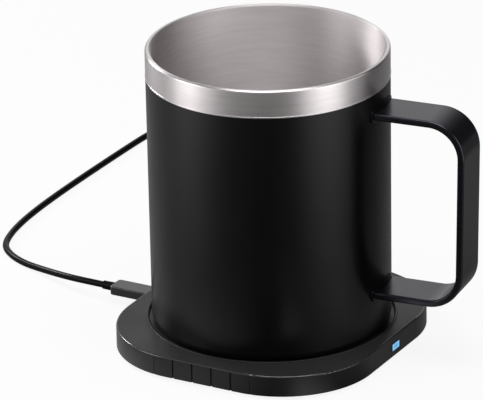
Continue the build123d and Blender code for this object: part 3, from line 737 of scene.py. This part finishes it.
cameraPlace = {
    "azimuth": 29.235, "elevation": 22.69, "roll": -1.068, "distance": 2.1028, "lens": 431.98,
    "aim": (-0.00925, -0.00468, 0.05304), "farClip": 20,
}


def makeCamera(place):
    azimuth, elevation, roll = (math.radians(place[key]) for key in ("azimuth", "elevation", "roll"))
    back = Vector((math.sin(azimuth) * math.cos(elevation), -math.cos(azimuth) * math.cos(elevation),
                   math.sin(elevation)))
    right = Vector((math.cos(azimuth), math.sin(azimuth), 0))
    up = back.cross(right)
    tiltedRight = right * math.cos(roll) + up * math.sin(roll)
    tiltedUp = up * math.cos(roll) - right * math.sin(roll)
    data = bpy.data.cameras.new("camera")
    data.lens = place["lens"]
    data.clip_end = place["farClip"]
    camera = bpy.data.objects.new("camera", data)
    turn = Matrix((tiltedRight, tiltedUp, back)).transposed().to_4x4()
    camera.matrix_world = Matrix.Translation(Vector(place["aim"]) + back * place["distance"]) @ turn
    scene.collection.objects.link(camera)
    scene.camera = camera


makeCamera(cameraPlace)
print("camera placed")


# studio: lamps and the levels that shiny surfaces see round the object, by bearing from the camera

lamps = {
    "topBox": {"bearing": 0, "elevation": 80, "distance": 0.8, "size": (0.6, 0.6), "power": 5.0},
    "leftBox": {"bearing": -80, "elevation": 22, "distance": 0.8, "size": (0.34, 0.5), "power": 1.2},
    "rightBox": {"bearing": 56, "elevation": 22, "distance": 0.8, "size": (0.30, 0.5), "power": 0.7},
    "backLeft": {"bearing": -133, "elevation": 27, "distance": 0.9, "size": (0.22, 0.2), "power": 2.8},
}
# levels on the table beside the base, then where the coat and the bare band see it, and on the walls above
tableRings = [
    [
        (-180, 0.4), (-128, 0.3), (-118, 0.25), (-107, 0.25), (-99, 0.6), (-90, 0.65), (-76, 0.85),
        (-62, 1.45), (-30, 1.0), (-14, 0.45), (-3, 0.01), (4, 0.3), (11, 2.2), (17, 1.5), (27, 0.01),
        (40, 0.05), (52, 0.3), (92, 0.3), (140, 0.3), (180, 0.4),
    ],
    [
        (-180, 0.36), (-140, 0.36), (-110, 0.38), (-79, 0.35), (-62, 0.28), (-43, 0.18), (-25, 0.12),
        (-4, 0.08), (17, 0.12), (34, 0.27), (52, 0.42), (67, 0.28), (85, 0.15), (101, 0.14), (112, 0.2),
        (150, 0.2), (180, 0.4),
    ],
    [
        (-180, 0.3), (-124, 0.3), (-108, 0.4), (-96, 0.75), (-86, 1.25), (-76, 1.55), (-67, 1.65),
        (-59, 1.35), (-50, 0.95), (-43, 0.6), (-28, 0.28), (-6, 0.16), (7, 0.16), (14, 0.2), (21, 0.35),
        (29, 0.8), (36, 1.45), (44, 1.8), (51, 1.8), (59, 1.75), (68, 1.35), (77, 0.55), (87, 0.19),
        (97, 0.09), (110, 0.08), (126, 0.16), (153, 0.25), (180, 0.3),
    ],
]
skyLevels = [
    (-180, 1.0), (-160, 0.5), (-130, 0.35), (-104, 0.8), (-86, 1.2), (-66, 1.2), (-50, 0.5), (-36, 0.25),
    (-20, 0.15), (10, 0.15), (24, 0.3), (38, 1.2), (64, 1.3), (76, 1.3), (92, 1.2), (106, 0.06), (138, 0.04),
    (150, 0.25), (166, 0.9), (180, 1.0),
]
stage = {
    "tableColour": 0.82, "bounceColour": 0.14, "tableDrop": 0.0002, "tableSide": 12.0, "whiteShare": 0.9,
    "ambient": 0.14, "ringReach": [(0.072, 0.080), (0.272, 0.32)], "wallTop": (0.45, 0.72), "ceiling": 0.14,
    "overhead": (0.88, 0.97), "zenith": 0.8, "lampAim": 0.05,
}


def bearingVector(bearing, elevation):
    angle = math.radians(bearing + cameraPlace["azimuth"] - 90)
    rise = math.radians(elevation)
    return Vector((math.cos(angle) * math.cos(rise), math.sin(angle) * math.cos(rise), math.sin(rise)))


def makeLamp(name, lamp):
    data = bpy.data.lights.new(name, "AREA")
    data.shape = "RECTANGLE"
    data.size, data.size_y = lamp["size"]
    data.energy = lamp["power"]
    away = bearingVector(lamp["bearing"], lamp["elevation"])
    box = bpy.data.objects.new(name, data)
    box.location = Vector((0, 0, stage["lampAim"])) + away * lamp["distance"]
    box.rotation_euler = away.to_track_quat("Z", "Y").to_euler()
    box.visible_camera = False
    scene.collection.objects.link(box)


def grey(level):
    return level, level, level, 1


def mixShaders(tree, share, first, second):
    mix = tree.nodes.new("ShaderNodeMixShader")
    if isinstance(share, float):
        mix.inputs["Fac"].default_value = share
    else:
        tree.links.new(share, mix.inputs["Fac"])
    tree.links.new(first, mix.inputs[1])
    tree.links.new(second, mix.inputs[2])
    return mix.outputs["Shader"]


def glossyOrClear(tree, path):
    return addMath(tree, "MAXIMUM", path.outputs["Is Glossy Ray"], path.outputs["Is Transmission Ray"])


# grey levels by bearing round the object
def bearingRamp(tree, coordinate, levels):
    place = tree.nodes.new("ShaderNodeTexCoord")
    turn = tree.nodes.new("ShaderNodeMapping")
    turn.inputs["Rotation"].default_value = (0, 0, math.radians(90 - cameraPlace["azimuth"]))
    bearing = tree.nodes.new("ShaderNodeTexGradient")
    bearing.gradient_type = "RADIAL"
    ramp = tree.nodes.new("ShaderNodeValToRGB")
    elements = ramp.color_ramp.elements
    for degrees, level in levels[1:-1]:
        elements.new(degrees / 360 + 0.5)
    for element, (degrees, level) in zip(elements, levels):
        element.position = degrees / 360 + 0.5
        element.color = grey(level)
    tree.links.new(place.outputs[coordinate], turn.inputs["Vector"])
    tree.links.new(turn.outputs["Vector"], bearing.inputs["Vector"])
    tree.links.new(bearing.outputs["Fac"], ramp.inputs["Fac"])
    return ramp.outputs["Color"]


# 0 inside a reach from the axis, 1 further out
def ringShare(tree, reach):
    place = tree.nodes.new("ShaderNodeTexCoord")
    return smoothSpan(tree, axisDistance(tree, place), reach)


# 0 on the walls, 1 overhead
def overheadShare(tree, span):
    place = tree.nodes.new("ShaderNodeTexCoord")
    split = tree.nodes.new("ShaderNodeSeparateXYZ")
    tree.links.new(place.outputs["Generated"], split.inputs["Vector"])
    return smoothSpan(tree, split.outputs["Z"], span)


# white to the camera with the object's shadow kept, and grey cards to shiny surfaces
def makeTable(stage):
    bm = bmesh.new()
    bmesh.ops.create_grid(bm, x_segments=1, y_segments=1, size=stage["tableSide"] / 2)
    bmesh.ops.translate(bm, verts=bm.verts, vec=(0, 0, -stage["tableDrop"]))
    mesh = bpy.data.meshes.new("table")
    bm.to_mesh(mesh)
    bm.free()
    material = bpy.data.materials.new("paleTable")
    material.use_nodes = True
    tree = material.node_tree
    tree.nodes.clear()
    path = tree.nodes.new("ShaderNodeLightPath")
    matte = tree.nodes.new("ShaderNodeBsdfDiffuse")
    matte.inputs["Color"].default_value = grey(stage["tableColour"])
    bounce = tree.nodes.new("ShaderNodeBsdfDiffuse")
    bounce.inputs["Color"].default_value = grey(stage["bounceColour"])
    white = tree.nodes.new("ShaderNodeEmission")
    toCamera = mixShaders(tree, stage["whiteShare"], matte.outputs["BSDF"], white.outputs["Emission"])
    cards = tree.nodes.new("ShaderNodeEmission")
    level = bearingRamp(tree, "Object", tableRings[0])
    for ring, reach in zip(tableRings[1:], stage["ringReach"]):
        level = mixColours(tree, ringShare(tree, reach), level, bearingRamp(tree, "Object", ring))
    tree.links.new(level, cards.inputs["Color"])
    plain = mixShaders(tree, path.outputs["Is Camera Ray"], bounce.outputs["BSDF"], toCamera)
    look = mixShaders(tree, glossyOrClear(tree, path), plain, cards.outputs["Emission"])
    made = tree.nodes.new("ShaderNodeOutputMaterial")
    tree.links.new(look, made.inputs["Surface"])
    mesh.materials.append(material)
    table = bpy.data.objects.new("table", mesh)
    scene.collection.objects.link(table)


# even grey light from all round, white to the camera, and lit or dark walls to shiny surfaces
def makeSurround(stage):
    world = bpy.data.worlds.new("surround")
    world.use_nodes = True
    tree = world.node_tree
    tree.nodes.clear()
    path = tree.nodes.new("ShaderNodeLightPath")
    ambient = tree.nodes.new("ShaderNodeBackground")
    ambient.inputs["Color"].default_value = grey(1)
    ambient.inputs["Strength"].default_value = stage["ambient"]
    white = tree.nodes.new("ShaderNodeBackground")
    white.inputs["Color"].default_value = grey(1)
    walls = tree.nodes.new("ShaderNodeBackground")
    level = bearingRamp(tree, "Generated", skyLevels)
    for span, overhead in (("wallTop", "ceiling"), ("overhead", "zenith")):
        level = mixColours(tree, overheadShare(tree, stage[span]), level, grey(stage[overhead]))
    tree.links.new(level, walls.inputs["Color"])
    seen = mixShaders(tree, path.outputs["Is Camera Ray"], walls.outputs["Background"],
                      white.outputs["Background"])
    rays = addMath(tree, "MAXIMUM", glossyOrClear(tree, path), path.outputs["Is Camera Ray"])
    look = mixShaders(tree, rays, ambient.outputs["Background"], seen)
    made = tree.nodes.new("ShaderNodeOutputWorld")
    tree.links.new(look, made.inputs["Surface"])
    scene.world = world


for lampName, lampValues in lamps.items():
    makeLamp(lampName, lampValues)
makeTable(stage)
makeSurround(stage)
scene.view_settings.view_transform = "Standard"
print("studio set")
